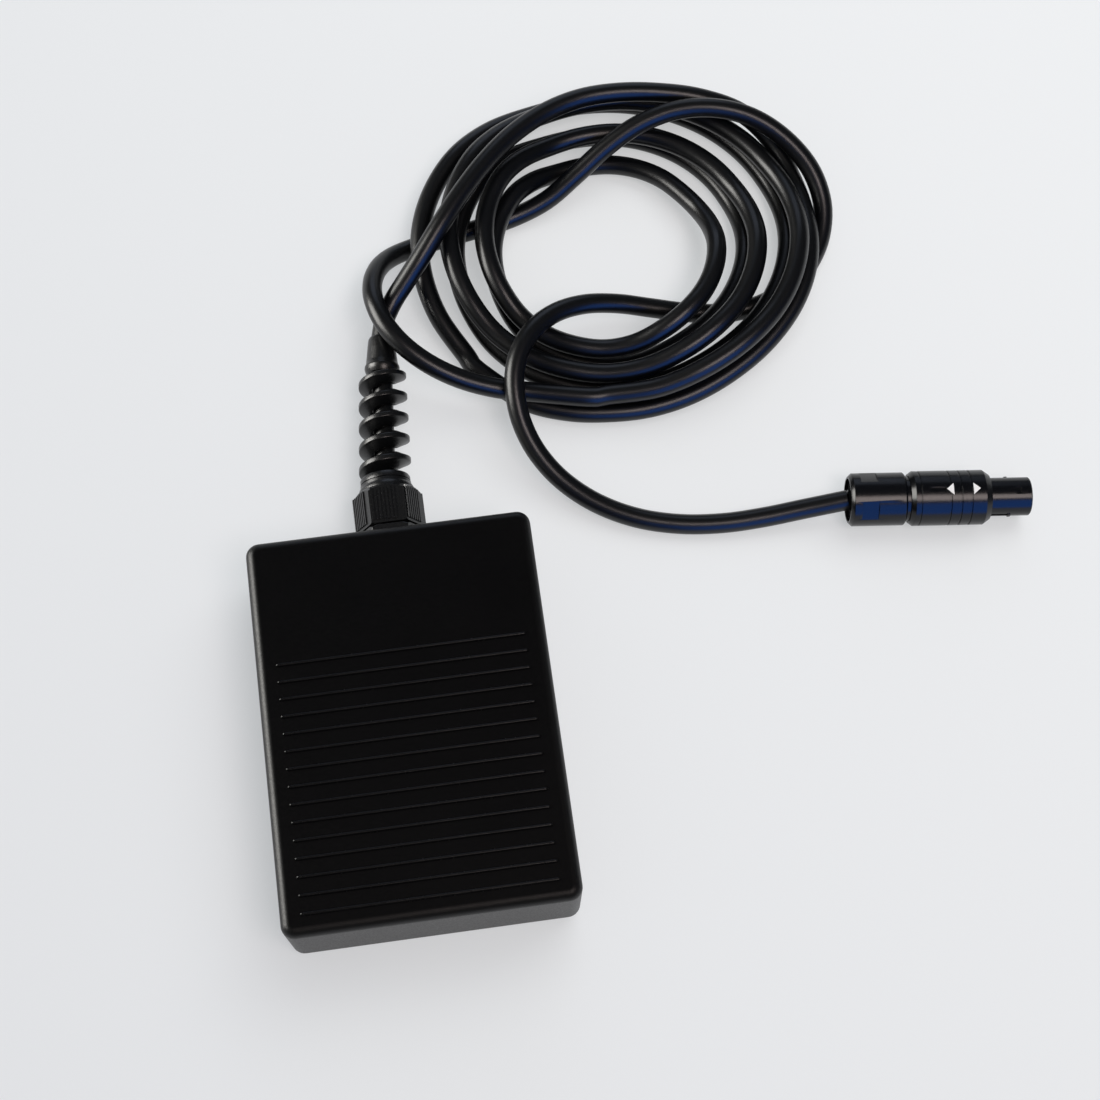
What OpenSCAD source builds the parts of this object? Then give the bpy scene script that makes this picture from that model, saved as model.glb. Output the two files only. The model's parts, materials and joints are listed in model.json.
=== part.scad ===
// Foot pedal of a sewing machine: a ribbed treadle hinged over a flat base, with a speed
// sensor and a switch inside, a cord in a gland with a spiral bend guard, and a push-pull plug.
// Millimetres. The floor is z = 0, +Y points to the rear where the cord leaves, and the origin
// lies under the middle of the body.

/* [Body] */
// Width of the pedal body
body_w = 72; // [70:0.5:84]
// Length of the pedal body
body_l = 99.4; // [98:0.2:120]
// Height of the treadle's flat top above the floor
body_h = 30; // [29:0.5:36]
// Height of the skirt's lower edge above the floor when nobody presses
skirt_gap = 4; // [3.9:0.1:6]
// Radius of the upright corners
corner_r = 3.4; // [3:0.1:6]
// Radius of the rounded edge round the top
edge_r = 2.6; // [1.5:0.1:2.8]
// Wall of the treadle
treadle_t = 2.4; // [1.8:0.1:2.8]
// Wall and floor of the base
base_t = 2.2; // [1.8:0.1:2.6]
// Room between the treadle's skirt and the base
skirt_clear = 0.9; // [0.8:0.1:1.2]
// How far the treadle turns when it is pressed, in degrees
press_angle = 2; // [1:0.1:2]

/* [Grip ribs] */
// Distance from one rib to the next
rib_pitch = 4.38; // [3:0.02:4.4]
// Width of a rib
rib_w = 0.95; // [0.7:0.05:1.6]
// Height of a rib over the treadle
rib_h = 0.5; // [0.3:0.05:1]
// Distance from the end of a rib to the side of the body
rib_inset = 4.95; // [4:0.05:8]
// Distance from the rear edge to the first rib
rib_back = 32.84; // [30:0.02:40]
// Least distance from the front edge to the last rib
rib_front = 5.2; // [4:0.1:12]

/* [Hinge] */
// Distance from the rear edge to the hinge
hinge_back = 9.6; // [9.5:0.1:10.5]
// Height of the hinge above the floor
hinge_z = 10; // [9.6:0.1:11]
// Radius of the hinge pins
pin_r = 1.5; // [1.2:0.05:1.8]
// Running clearance of a pin in its lug, on the radius
pin_clear = 0.05; // [0.02:0.01:0.1]
// Distance from the body's side to the middle of each lug
lug_side = 13; // [12.8:0.1:14]
// Thickness of a lug
lug_t = 4; // [3:0.1:4.5]
// Thickness of the ears that hold the pin
ear_t = 3; // [2:0.1:3.2]

/* [Springs and stops] */
// Distance from the body's side to the middle of each spring
spring_side = 13; // [12.5:0.1:15]
// Distance from the front edge to the springs
spring_front = 25.7; // [24:0.1:28]
// Outer radius of a spring
spring_r = 4.5; // [3.5:0.1:5]
// Radius of the spring wire
wire_r = 0.45; // [0.3:0.05:0.6]
// Turns of a spring
spring_turns = 7; // [5:1:9]
// Distance from the body's side to the middle of each rubber stop
stop_side = 12; // [11:0.1:13]
// Distance from the front edge to the stops
stop_front = 11; // [10:0.1:12]
// Room left above a stop when the treadle is fully pressed
stop_clear = 0.45; // [0.4:0.05:0.6]
// Radius of a rubber foot
foot_r = 5; // [4:0.1:6]
// Height of the base's underside above the floor
foot_h = 3.2; // [3:0.1:3.5]

/* [Cord] */
// Diameter of the cord
cord_d = 5.4; // [4.6:0.1:5.4]
// Sideways place of the cord's gland
gland_x = 0.6; // [-2:0.1:2]
// Height of the gland's axis above the floor
gland_z = 11.5; // [11.5:0.1:12]
// Width across the flats of the gland's hexagons
gland_af = 16; // [15:0.1:16]
// Radius of the gland's threaded stem
stem_r = 5.4; // [5:0.1:5.5]
// Length of the gland nut's hexagon
nut_l = 10.6; // [9:0.1:12]
// Length of the nut's dome
dome_l = 2.8; // [2.6:0.1:5]
// Turns of the spiral bend guard
guard_turns = 4.9; // [3:0.05:5]
// Distance from one turn of the guard to the next
guard_pitch = 6.65; // [5:0.05:6.8]
// Width of the guard's strip at its root, along the cord
guard_strip = 5.2; // [3:0.1:5.4]
// Width of the guard's strip at its edge
guard_edge = 1.4; // [1:0.1:2.5]
// Outer radius of the guard
guard_r = 6.95; // [6:0.05:7]
// How far the guard and its cord lean to the right, in degrees
guard_lean = 4.7; // [0:0.1:5]

/* [Coil] */
// Turns that the coil winds in, on the floor
coil_in = 2.5; // [2:0.05:2.5]
// Turns that the coil winds out again, on top
coil_out = 2.4; // [2:0.01:2.43]
// Radius where the coil starts
coil_r = 55.5; // [55:0.1:60]
// Radius where it turns back
coil_eye = 28; // [24:0.1:28.5]
// Step from the lower layer up to the upper one
coil_step = 6.4; // [6.3:0.1:7]
// How far the coil is lifted where the cord passes under it
coil_lift = 6.3; // [6.2:0.1:7]

/* [Plug] */
// Radius of the plug's release sleeve
sleeve_r = 7.3; // [7.1:0.05:7.6]
// Length of the release sleeve
sleeve_l = 21.4; // [20:0.1:24]
// How far the sleeve slides back to let go
sleeve_travel = 0.7; // [0.5:0.1:1.2]
// Radius of the plug's nose
nose_r = 5.1; // [4.8:0.05:5.3]
// Length of the nose in front of the sleeve
nose_l = 10.9; // [9:0.1:13]
// Length of the plug's rear nut
back_nut_l = 14.9; // [14:0.1:17]
// Radius of the rear nut
back_nut_r = 7.05; // [6.95:0.05:7.5]
// Number of contacts in the ring
contact_count = 7; // [5:1:7]

/* [Hidden] */
$fn = 64;
hull_fn = 32; // facets of the rounded corners that are hulls
seat = 0.02; // gap between two fixed faces that bear on each other
eps = 0.5; // overshoot of a cut
cord_r = cord_d / 2;

// Body and base, worked out from the outside inwards
rear_y = body_l / 2;
base_hw = body_w / 2 - treadle_t - skirt_clear; // half the base's width
base_front = -rear_y + treadle_t + skirt_clear;
base_rear = rear_y - treadle_t - skirt_clear;
base_z = foot_h; // underside of the base
floor_z = base_z + base_t; // top of the base's floor
base_wall_z = 16; // top of the base's walls
inner_z = body_h - treadle_t; // underside of the treadle's top
inner_r = max(corner_r - treadle_t, 0.8);

// Hinge
hinge_y = rear_y - hinge_back;
lug_x = body_w / 2 - lug_side;
ear_gap = 0.4; // room on each side of a lug
ear_r = 3.5; // half the depth of ears and lugs
ear_in = lug_x - lug_t / 2 - ear_gap - ear_t;
ear_out = lug_x + lug_t / 2 + ear_gap;
clip_t = 0.6;
head_t = 1;
function drop(y) = (hinge_y - y) * sin(press_angle); // how far a point at y goes down

// Springs and stops
spring_x = body_w / 2 - spring_side;
spring_y = -rear_y + spring_front;
post_r = spring_r - 2 * wire_r - 0.5; // pegs that stand in the springs
stop_x = body_w / 2 - stop_side;
stop_y = -rear_y + stop_front;
stop_top = 11.5; // top of the rubber stops
stop_r = 4;
foot_inset = 11.4; // from the sides and ends of the body to the middle of a foot
foot_x = body_w / 2 - foot_inset;
foot_y = rear_y - foot_inset;
foot_pocket = 0.8; // depth of the pockets that the feet are glued in
hook_x = 12; // catches that hold the treadle down
hook_w = 7;

// Circuit board and what stands on it
board = [34, 34, 1.6];
board_y = hinge_y - 48.1; // front edge of the board
board_z = floor_z + 3;
board_top = board_z + board[2];
screw_r = 1.25;
header_y = board_y + board[1] - 4; // rear face of the wire connector
header_z = board_top + 3.5;
wire_bore = 0.75;
arm_tip = 22; // reach of the sensor arm in front of its shaft
arm_y = hinge_y - 36.1;
arm_z = board_top + 5.5;
arm_x = -3;
shaft_r = 2;
lever_reach = 16; // reach of the switch lever in front of its pivot
lever_y = hinge_y - 27.1;
lever_z = board_top + 7.4;
switch_x = -12;
switch_w = 6;
lever_pin_r = 0.6;
plunger_r = 0.8;
plunger_y = lever_y - 5;

// Gland, from the rear wall outwards
washer_t = 0.8;
flange_t = 3.6;
nut_gap = 0.5;
boss_hw = 10.5; // half the width of the rear boss
boss_top = gland_z + 10;
wall_in = rear_y - 5.3; // inner face of the wall that the gland goes through
flange_y = rear_y + washer_t;
nut_y = flange_y + flange_t + nut_gap;
dome_y = nut_y + nut_l;
guard_y = dome_y + dome_l;
guard_bore = cord_r + 0.5;
guard_room = guard_r * sin(guard_lean); // keeps the leaning strip off the nut
collar_y = guard_y + 0.4 + guard_turns * guard_pitch;
collar_l = 9.7;
tip_at = collar_y + collar_l - 0.275 - guard_y; // from the guard's foot to where the cord comes out
guard_tip = [gland_x + tip_at * sin(guard_lean), guard_y + tip_at * cos(guard_lean), gland_z];
locknut_t = 4;
locknut_af = 14;
nut_thread_r = 6.4; // thread that the gland's nut screws on
clamp_l = 5;
clamp_y = wall_in - clamp_l - 8.4;
clamp_hw = 9;
cord_inside = 1.5; // how far the cord reaches past its clamp
clamp_screw_x = 6.2;

// Plug, along its own axis
plug_turn = -6.4;
plug_roll = 181.5; // where the slot and the arrowheads look, about the plug's axis
back_gap = sleeve_travel + 0.3;
sleeve_at = back_nut_l + back_gap;
core_r = sleeve_r - 1.3;
slide_clear = 0.1;
sleeve_lip = 1.4; // inner lip at the front of the sleeve
plug_bore = nose_r - 1;
mouth_r = nose_r - 0.8; // bore that takes the socket's middle
insert_depth = 5.2; // how far the insert lies behind the mouth
collet_at = 1.6;

// The cord lies as a whole behind the guard's tip, wherever that is
lay = guard_tip - [4.1, 110.4, gland_z];
plug_at = [121.5, 49, sleeve_r] + lay;

// The cord's free stretches: points chosen along the middle of the cord
tail_path = [
  [4.1, 110.4, gland_z], [5.6, 115.5, 11.9], [8.6, 120.3, 13.2], [12.9, 124.9, 15.6],
  [18.2, 130.6, 18.7], [24.2, 137.8, 21.3], [30.9, 146.2, 22.1], [38.4, 154.8, 21.8],
  [46.9, 162.8, 20.8], [56.7, 169.2, 19.6], [67.2, 173.1, 18.5], [78.3, 174.2, 17.6],
  [89.7, 173.3, 16.6], [101.4, 170.9, 15.1], [112.5, 166.3, 12.4], [120.3, 158.3, 8.5],
  [124.2, 147.9, 6.2], [125.6, 137.1, 7], [125.2, 126.4, 8.6], [122.4, 116, 8.7],
  [116.6, 106.2, 7.6], [107.8, 97.5, 6.1], [97.1, 90.8, 4.7], [85.7, 86.3, 3.5],
  [74, 84.2, 2.8], [62.4, 84.4, 2.7], [51.3, 86.3, 2.7], [40.4, 91, 2.7]
];
lead_path = [
  [40.4, 91, 8.8], [31.9, 92.7, 10.2], [23.5, 95.4, 12.6], [15.9, 99.5, 15.2],
  [9.7, 105, 17.3], [5.5, 111.6, 18.2], [3.5, 118.7, 17.5], [3.6, 125.5, 14.7],
  [5.5, 131.7, 10.8], [8.9, 136.6, 6.8], [14.3, 140.2, 3.8], [22.5, 142.6, 2.7],
  [32.9, 144.5, 2.7], [44.2, 146.8, 2.8], [54.7, 150.1, 4.7], [63.8, 155, 8.4],
  [72.8, 160.2, 12.3], [82.5, 164.3, 15.7], [93, 166.2, 17.8], [103.7, 165.3, 18.4],
  [114, 161.8, 17.1], [122.7, 155.6, 14.1], [129, 147.3, 10.4], [131.4, 138.2, 6.4],
  [129.7, 129.4, 3.6], [124.9, 121.5, 2.7], [118.1, 115.2, 2.7], [109.6, 111.1, 2.7],
  [99.8, 109.7, 2.8], [89.4, 110.5, 4], [79.1, 112.2, 6.2], [69.3, 113.5, 9],
  [60.1, 113.1, 11.9], [51.8, 110.4, 14.5], [45.1, 105.6, 16.2], [40.6, 99.6, 16.7],
  [38.2, 93.2, 15.9], [37.7, 86.5, 13.9], [38.8, 79.7, 11], [41.9, 72.5, 8.1],
  [47.4, 65.2, 5.6], [55.5, 58.4, 3.9], [65.6, 53.1, 3], [76.8, 49.9, 2.7], [88.2, 48.5, 3],
  [99.1, 48.4, 3.8], [109.9, 48.8, 5.2], [121.5, 49, sleeve_r]
];

// The coil's plan: an oval spiral that winds in on the floor and out again on top
coil_at = [72, 134.5];
coil_drift = [-2.4, -3.6]; // how far the middle of the loops wanders
coil_start = 215; // direction of its first point from the middle, in degrees
coil_flat = 5.5; // how much less the outer loops reach to the rear than to the side
coil_turns = coil_in + coil_out;
lift_left = [163, 20, 62]; // where the cord passes under: direction, plateau, fade
lift_right = [-38, 16, 62];

// ---------- small helpers ----------

function unit(v) = v / norm(v);
function smooth(t) = let (u = min(max(t, 0), 1)) u * u * (3 - 2 * u);
function wrap(a) = abs((a + 180) - 360 * floor((a + 180) / 360) - 180);
function bump(a, at) = smooth((at[2] - wrap(a - at[0])) / (at[2] - at[1]));

// Faces of a closed tube of m rings with n points each, all triangles
function tube_faces(m, n) = concat(
  [for (i = [0:m - 2], k = [0:n - 1])
    [i * n + k, i * n + (k + 1) % n, (i + 1) * n + k]],
  [for (i = [0:m - 2], k = [0:n - 1])
    [i * n + (k + 1) % n, (i + 1) * n + (k + 1) % n, (i + 1) * n + k]],
  [for (k = [1:n - 2]) [0, k + 1, k]],
  [for (k = [1:n - 2]) [(m - 1) * n, (m - 1) * n + k, (m - 1) * n + k + 1]]
);

function heading(path, i) = let (last = len(path) - 1)
  unit(path[min(i + 1, last)] - path[max(i - 1, 0)]);

function tube_ring(p, t, r, n) = let (side = unit(cross(t, [0, 0, 1])), up = cross(side, t))
  [for (k = [0:n - 1]) p + r * (cos(360 * k / n) * side + sin(360 * k / n) * up)];

// A round tube of n sides along a path; ends names the headings of its two end faces
module tube(path, r, n, ends = [undef, undef]) {
  last = len(path) - 1;
  rings = [for (i = [0:last])
    tube_ring(path[i],
      i == 0 && !is_undef(ends[0]) ? ends[0]
        : i == last && !is_undef(ends[1]) ? ends[1] : heading(path, i),
      r, n)];
  polyhedron([for (ring = rings) each ring], tube_faces(last + 1, n), convexity = 10);
}

// Distance from point p to the stretch from a to b
function reach(p, a, b) = let (d = b - a, t = min(max((p - a) * d / (d * d), 0), 1))
  norm(p - a - t * d);

// Least room between a wound tube and itself, leaving out neighbours closer than skip points
function self_gap(path, skip, d) = min([for (i = [0:len(path) - 1])
  for (j = [i + skip:1:len(path) - 2]) reach(path[i], path[j], path[j + 1])]) - d;

// A box with upright rounded corners
module rounded_box(hw, y0, y1, z0, z1, r) {
  hull()
    for (x = [-hw + r, hw - r], y = [y0 + r, y1 - r])
      translate([x, y, z0]) cylinder(r = r, h = z1 - z0, $fn = hull_fn);
}

// Places something on the gland's axis, its own z pointing to the rear
module on_gland(y) {
  translate([gland_x, y, gland_z]) rotate([-90, 0, 0]) children();
}

// Places something on the guard's leaning axis, u from the guard's foot
module on_guard(u) {
  translate([gland_x, guard_y, gland_z]) rotate([0, 0, -guard_lean]) rotate([-90, 0, 0])
    translate([0, 0, u]) children();
}

// Places something on the plug's axis, its own z pointing to the mouth
module on_plug(u = 0) {
  translate(plug_at) rotate([0, 0, plug_turn]) rotate([0, 90, 0]) translate([0, 0, u]) children();
}

// Turns a half outline, given as [radius, height] points, into a solid
module turned(outline) {
  rotate_extrude() polygon(outline);
}

module ring(r_out, r_in, h) {
  difference() {
    cylinder(r = r_out, h = h);
    translate([0, 0, -eps]) cylinder(r = r_in, h = h + 2 * eps);
  }
}

// A hexagonal prism, its corners cut by a cone at each end
module hex(af, h, low = 0.6, high = 0.6) {
  r = af / 2 / cos(30);
  intersection() {
    cylinder(r = r, h = h, $fn = 6);
    turned([[0, 0], [r - low, 0], [r + 0.01, low], [r + 0.01, h - high], [r - high, h], [0, h]]);
  }
}

// A pan head screw pointing down, its head's underside at z = 0
module screw(r, length) {
  difference() {
    union() {
      turned([[0, 0], [2 * r, 0], [2 * r, 0.9 * r], [1.5 * r, 1.3 * r], [0, 1.3 * r]]);
      translate([0, 0, -length]) cylinder(r = r, h = length + 0.1);
    }
    for (a = [0, 90]) rotate(a) translate([-r, -0.15 * r, 0.7 * r]) cube([2 * r, 0.3 * r, r]);
  }
}

// The rounded side outline of an ear or lug, from z0 up to z1, in the plane across the hinge
module cheek(x, t, z0, z1) {
  c = 1.2;
  translate([x, 0, 0]) rotate([90, 0, 90]) linear_extrude(t)
    polygon([[hinge_y - ear_r, z0], [hinge_y + ear_r, z0], [hinge_y + ear_r, z1 - c],
      [hinge_y + ear_r - c, z1], [hinge_y - ear_r + c, z1], [hinge_y - ear_r, z1 - c]]);
}

// ---------- base ----------

module base_shell() {
  color([0.1, 0.1, 0.11])
  difference() {
    union() {
      difference() {
        rounded_box(base_hw, base_front, base_rear, base_z, base_wall_z, inner_r);
        rounded_box(base_hw - base_t, base_front + base_t, base_rear - base_t, floor_z,
          base_wall_z + eps, inner_r);
      }
      // rear boss that the gland goes through
      translate([gland_x - boss_hw, wall_in, base_z])
        cube([2 * boss_hw, rear_y - wall_in, boss_top - base_z]);
      // ears of the hinge
      for (s = [-1, 1], x = [ear_in, ear_out])
        cheek(s > 0 ? x : -x - ear_t, ear_t, floor_z - 0.1, hinge_z + ear_r);
      // pegs that hold the springs, seats of the rubber stops
      for (s = [-1, 1]) {
        translate([s * spring_x, spring_y, floor_z - 0.1]) cylinder(r = post_r, h = 7.1);
        translate([s * stop_x, stop_y, floor_z - 0.1])
          cylinder(r = stop_r, h = stop_top - 3 - floor_z + 0.1);
      }
      // pillars under the board
      for (s = [-1, 1], y = [board_y + 3, board_y + board[1] - 3])
        translate([s * (board[0] / 2 - 3), y, floor_z - 0.1])
          cylinder(r = 2.8, h = board_z - floor_z + 0.1);
      // saddle under the cord
      translate([gland_x - clamp_hw, clamp_y, floor_z - 0.1])
        cube([2 * clamp_hw, clamp_l, gland_z - 0.3 - floor_z + 0.1]);
    }
    on_gland(wall_in - eps) cylinder(r = stem_r + 0.05, h = rear_y - wall_in + 2 * eps);
    on_gland(clamp_y - eps) cylinder(r = cord_r + 0.05, h = clamp_l + 2 * eps);
    for (s = [-1, 1]) {
      translate([s * (ear_in - eps), hinge_y, hinge_z]) rotate([0, s * 90, 0])
        cylinder(r = pin_r + 0.01, h = 2 * ear_t + lug_t + 2 * ear_gap + 2 * eps);
      // windows for the treadle's catches
      translate([s * hook_x - hook_w / 2 - 0.5, base_front - eps, floor_z + 0.4])
        cube([hook_w + 1, base_t + 2 * eps, 7]);
      translate([gland_x + s * clamp_screw_x, clamp_y + clamp_l / 2, floor_z + 0.5])
        cylinder(r = screw_r + 0.01, h = gland_z);
    }
    for (x = [-foot_x, foot_x], y = [-foot_y, foot_y])
      translate([x, y, base_z - eps]) cylinder(r = foot_r + 0.05, h = foot_pocket + eps);
    // room for the gland's locknut
    translate([gland_x - locknut_af / 2 / cos(30) - 0.5, wall_in - locknut_t - 0.5,
        gland_z - locknut_af / 2 - 0.15])
      cube([locknut_af / cos(30) + 1, locknut_t + 0.5, locknut_af]);
    for (s = [-1, 1], y = [board_y + 3, board_y + board[1] - 3])
      translate([s * (board[0] / 2 - 3), y, floor_z]) cylinder(r = screw_r + 0.01, h = 4);
  }
}

module rubber_feet() {
  color([0.07, 0.07, 0.07])
  for (x = [-foot_x, foot_x], y = [-foot_y, foot_y])
    translate([x, y, 0])
      turned([[0, 0], [foot_r - 0.6, 0], [foot_r, 0.6], [foot_r, base_z + foot_pocket - seat],
        [0, base_z + foot_pocket - seat]]);
}

// ---------- treadle ----------

// One upright corner of the treadle's outside, rounded over at the top
module treadle_corner() {
  inner = corner_r - edge_r;
  rotate_extrude($fn = hull_fn)
    polygon(concat([[0, skirt_gap], [corner_r, skirt_gap]],
      [for (a = [0:15:90]) [inner + edge_r * cos(a), body_h - edge_r + edge_r * sin(a)]],
      [[0, body_h]]));
}

module rib(length) {
  linear_extrude(rib_h + 0.2) {
    square([length - rib_w, rib_w], center = true);
    for (s = [-1, 1]) translate([s * (length - rib_w) / 2, 0]) circle(d = rib_w);
  }
}

module treadle() {
  color([0.09, 0.09, 0.1])
  difference() {
    union() {
      difference() {
        hull()
          for (x = [-1, 1], y = [-1, 1])
            translate([x * (body_w / 2 - corner_r), y * (rear_y - corner_r), 0])
              treadle_corner();
        rounded_box(body_w / 2 - treadle_t, -rear_y + treadle_t, rear_y - treadle_t,
          skirt_gap - eps, inner_z, inner_r);
        // way out for the gland, open at the bottom
        translate([gland_x - boss_hw - 0.8, rear_y - treadle_t - eps, skirt_gap - eps])
          cube([2 * boss_hw + 1.6, treadle_t + 2 * eps, boss_top + 1.2 - skirt_gap + eps]);
      }
      for (y = [rear_y - rib_back:-rib_pitch:-rear_y + rib_front])
        translate([0, y, body_h - 0.2]) rib(body_w - 2 * rib_inset);
      // lugs of the hinge
      for (s = [-1, 1])
        translate([0, 0, hinge_z + inner_z]) mirror([0, 0, 1])
          cheek(s * lug_x - lug_t / 2, lug_t, hinge_z - 0.1, inner_z + ear_r);
      for (s = [-1, 1]) {
        // collars that hold the tops of the springs
        translate([s * spring_x, spring_y, inner_z - 2.5]) ring(spring_r + 1.9, spring_r + 0.5, 2.6);
        // pegs that land on the rubber stops
        translate([s * stop_x, stop_y, stop_top + drop(stop_y) + stop_clear])
          cylinder(r = 3, h = inner_z + 0.1 - stop_top - drop(stop_y) - stop_clear);
        // catches in the base's windows
        translate([s * hook_x - hook_w / 2, base_front + base_t + 0.4, floor_z + 4.4])
          cube([hook_w, 2, inner_z + 0.1 - floor_z - 4.4]);
        translate([s * hook_x - hook_w / 2, base_front + 0.6, floor_z + 4.4])
          cube([hook_w, base_t, 2.7]);
      }
      // fingers that push the sensor arm and the switch lever
      translate([arm_x, arm_y - arm_tip, arm_z + 2.3]) cylinder(r = 2.2, h = inner_z + 0.1 - arm_z - 2.3);
      translate([switch_x, lever_y - lever_reach + 1, lever_z + 1.2])
        cylinder(r = 2, h = inner_z + 0.1 - lever_z - 1.2);
    }
    for (s = [-1, 1])
      translate([s * lug_x - lug_t / 2 - eps, hinge_y, hinge_z]) rotate([0, 90, 0])
        cylinder(r = pin_r + pin_clear, h = lug_t + 2 * eps);
  }
}

module hinge_pins() {
  color([0.75, 0.75, 0.77])
  for (s = [-1, 1])
    translate([s * (ear_in - head_t - seat), hinge_y, hinge_z]) rotate([0, s * 90, 0]) {
      cylinder(r = pin_r + 1, h = head_t);
      cylinder(r = pin_r, h = head_t + 2 * ear_t + lug_t + 2 * ear_gap + clip_t + 1);
    }
}

module pin_clips() {
  color([0.5, 0.5, 0.52])
  for (s = [-1, 1])
    translate([s * (ear_out + ear_t + 2 * seat), hinge_y, hinge_z]) rotate([0, s * 90, 0])
      difference() {
        cylinder(r = pin_r + 1.2, h = clip_t);
        translate([0, 0, -eps]) cylinder(r = pin_r + 0.01, h = clip_t + 2 * eps);
        translate([-0.8, 0, -eps]) cube([1.6, pin_r + 2, clip_t + 2 * eps]);
      }
}

// ---------- springs and stops ----------

module spring(s) {
  r = spring_r - wire_r;
  z0 = floor_z + wire_r + seat;
  rise = inner_z - wire_r - seat - z0;
  path = [for (i = [0:8 * spring_turns])
    [s * spring_x + r * cos(45 * i), spring_y + r * sin(45 * i), z0 + rise * i / (8 * spring_turns)]];
  echo(str("spring least gap to itself, mm: ", rise / spring_turns - 2 * wire_r));
  color([0.7, 0.7, 0.72]) tube(path, wire_r, 6);
}

module spring_left() {
  spring(-1);
}

module spring_right() {
  spring(1);
}

module travel_stops() {
  color([0.12, 0.12, 0.12])
  for (s = [-1, 1])
    translate([s * stop_x, stop_y, stop_top - 3 + seat])
      turned([[0, 0], [stop_r, 0], [stop_r, 2.4 - seat], [stop_r - 0.6, 3 - seat], [0, 3 - seat]]);
}

// ---------- electrics ----------

module circuit_board() {
  color([0.05, 0.3, 0.15])
  difference() {
    translate([-board[0] / 2, board_y, board_z + seat]) cube([board[0], board[1], board[2] - seat]);
    for (s = [-1, 1], y = [board_y + 3, board_y + board[1] - 3])
      translate([s * (board[0] / 2 - 3), y, board_z - eps])
        cylinder(r = screw_r + 0.15, h = board[2] + 2 * eps);
  }
}

module board_screws() {
  color([0.75, 0.75, 0.77])
  for (s = [-1, 1], y = [board_y + 3, board_y + board[1] - 3])
    translate([s * (board[0] / 2 - 3), y, board_top + seat]) screw(screw_r, 4);
}

module sensor_body() {
  color([0.15, 0.2, 0.35])
  difference() {
    translate([arm_x + 3, arm_y - 5, board_top + seat]) cube([8, 10, 11]);
    translate([arm_x + 2, arm_y, arm_z]) rotate([0, 90, 0]) cylinder(r = shaft_r + 0.05, h = 7);
  }
}

// Shaft of the sensor with the arm that the treadle pushes down
module sensor_arm() {
  color([0.85, 0.85, 0.8]) {
    translate([arm_x - 2, arm_y, arm_z]) rotate([0, 90, 0]) cylinder(r = shaft_r, h = 10.5);
    translate([arm_x - 2, arm_y, arm_z]) rotate([0, 90, 0]) cylinder(r = shaft_r + 1.5, h = 4);
    translate([arm_x - 1.5, arm_y - arm_tip, arm_z - 1]) cube([3, arm_tip - 1, 2]);
    translate([arm_x - 1.5, arm_y - arm_tip, arm_z]) rotate([0, 90, 0]) cylinder(r = 2, h = 3);
  }
}

module switch_body() {
  color([0.12, 0.12, 0.13])
  difference() {
    union() {
      translate([switch_x - switch_w / 2, lever_y - 12, board_top + seat])
        cube([switch_w, 13.5, 5.6 - seat]);
      // cheeks that carry the lever's pin
      for (s = [-1, 1])
        translate([switch_x + s * 2.4 - 0.6, lever_y - 1.5, board_top + 5.5]) cube([1.2, 3, 3.4]);
    }
    translate([switch_x, plunger_y, board_top + 2]) cylinder(r = plunger_r + 0.05, h = 5);
    translate([switch_x - 4, lever_y, lever_z]) rotate([0, 90, 0]) cylinder(r = lever_pin_r + 0.03, h = 8);
  }
}

// Switch lever with its pin and the roller under the treadle's finger
module switch_lever() {
  color([0.75, 0.75, 0.77]) {
    translate([switch_x - 2.9, lever_y, lever_z]) rotate([0, 90, 0]) cylinder(r = lever_pin_r, h = 5.8);
    translate([switch_x - 1.4, lever_y, lever_z]) rotate([0, 90, 0]) cylinder(r = 1.2, h = 2.8);
    translate([switch_x - 1.4, lever_y - lever_reach, lever_z - 0.3]) cube([2.8, lever_reach, 0.6]);
    translate([switch_x - 1.4, lever_y - lever_reach + 1, lever_z - 0.5]) rotate([0, 90, 0])
      cylinder(r = 1.4, h = 2.8);
  }
}

module switch_plunger() {
  color([0.8, 0.2, 0.1])
  translate([switch_x, plunger_y, board_top + 4]) cylinder(r = plunger_r, h = 2.8);
}

module wire_connector() {
  color([0.9, 0.9, 0.86])
  difference() {
    translate([-6, header_y - 6, board_top + seat]) cube([12, 6, 6]);
    for (i = [-1.5:1.5])
      translate([2.5 * i, header_y - 2, header_z]) rotate([-90, 0, 0]) cylinder(r = wire_bore, h = 3);
  }
}

// Four thin wires from the cord's end to the connector
module inner_wires() {
  r = wire_bore - 0.15;
  y0 = clamp_y - cord_inside;
  y1 = header_y - 1.5;
  for (i = [0:3]) {
    x1 = 2.5 * (i - 1.5);
    x0 = gland_x + 1.3 * (i - 1.5);
    color([[0.7, 0.1, 0.1], [0.1, 0.2, 0.7], [0.8, 0.7, 0.1], [0.9, 0.9, 0.9]][i])
      tube([[x0, y0, gland_z], [x0, y0 - 0.8, gland_z],
          [(x0 + x1) / 2, (y0 + header_y) / 2, (gland_z + header_z) / 2 + 0.8],
          [x1, header_y + 1, header_z], [x1, y1, header_z]],
        r, 8, [[0, -1, 0], [0, -1, 0]]);
  }
}

module cord_clamp() {
  color([0.12, 0.12, 0.13])
  difference() {
    translate([gland_x - clamp_hw, clamp_y, gland_z + 0.3]) cube([2 * clamp_hw, clamp_l, 4.7]);
    on_gland(clamp_y - eps) cylinder(r = cord_r + 0.05, h = clamp_l + 2 * eps);
    for (s = [-1, 1])
      translate([gland_x + s * clamp_screw_x, clamp_y + clamp_l / 2, gland_z])
        cylinder(r = screw_r + 0.15, h = 6);
  }
}

module clamp_screws() {
  color([0.75, 0.75, 0.77])
  for (s = [-1, 1])
    translate([gland_x + s * clamp_screw_x, clamp_y + clamp_l / 2, gland_z + 5 + seat])
      screw(screw_r, 9);
}

// ---------- gland and bend guard ----------

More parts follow.
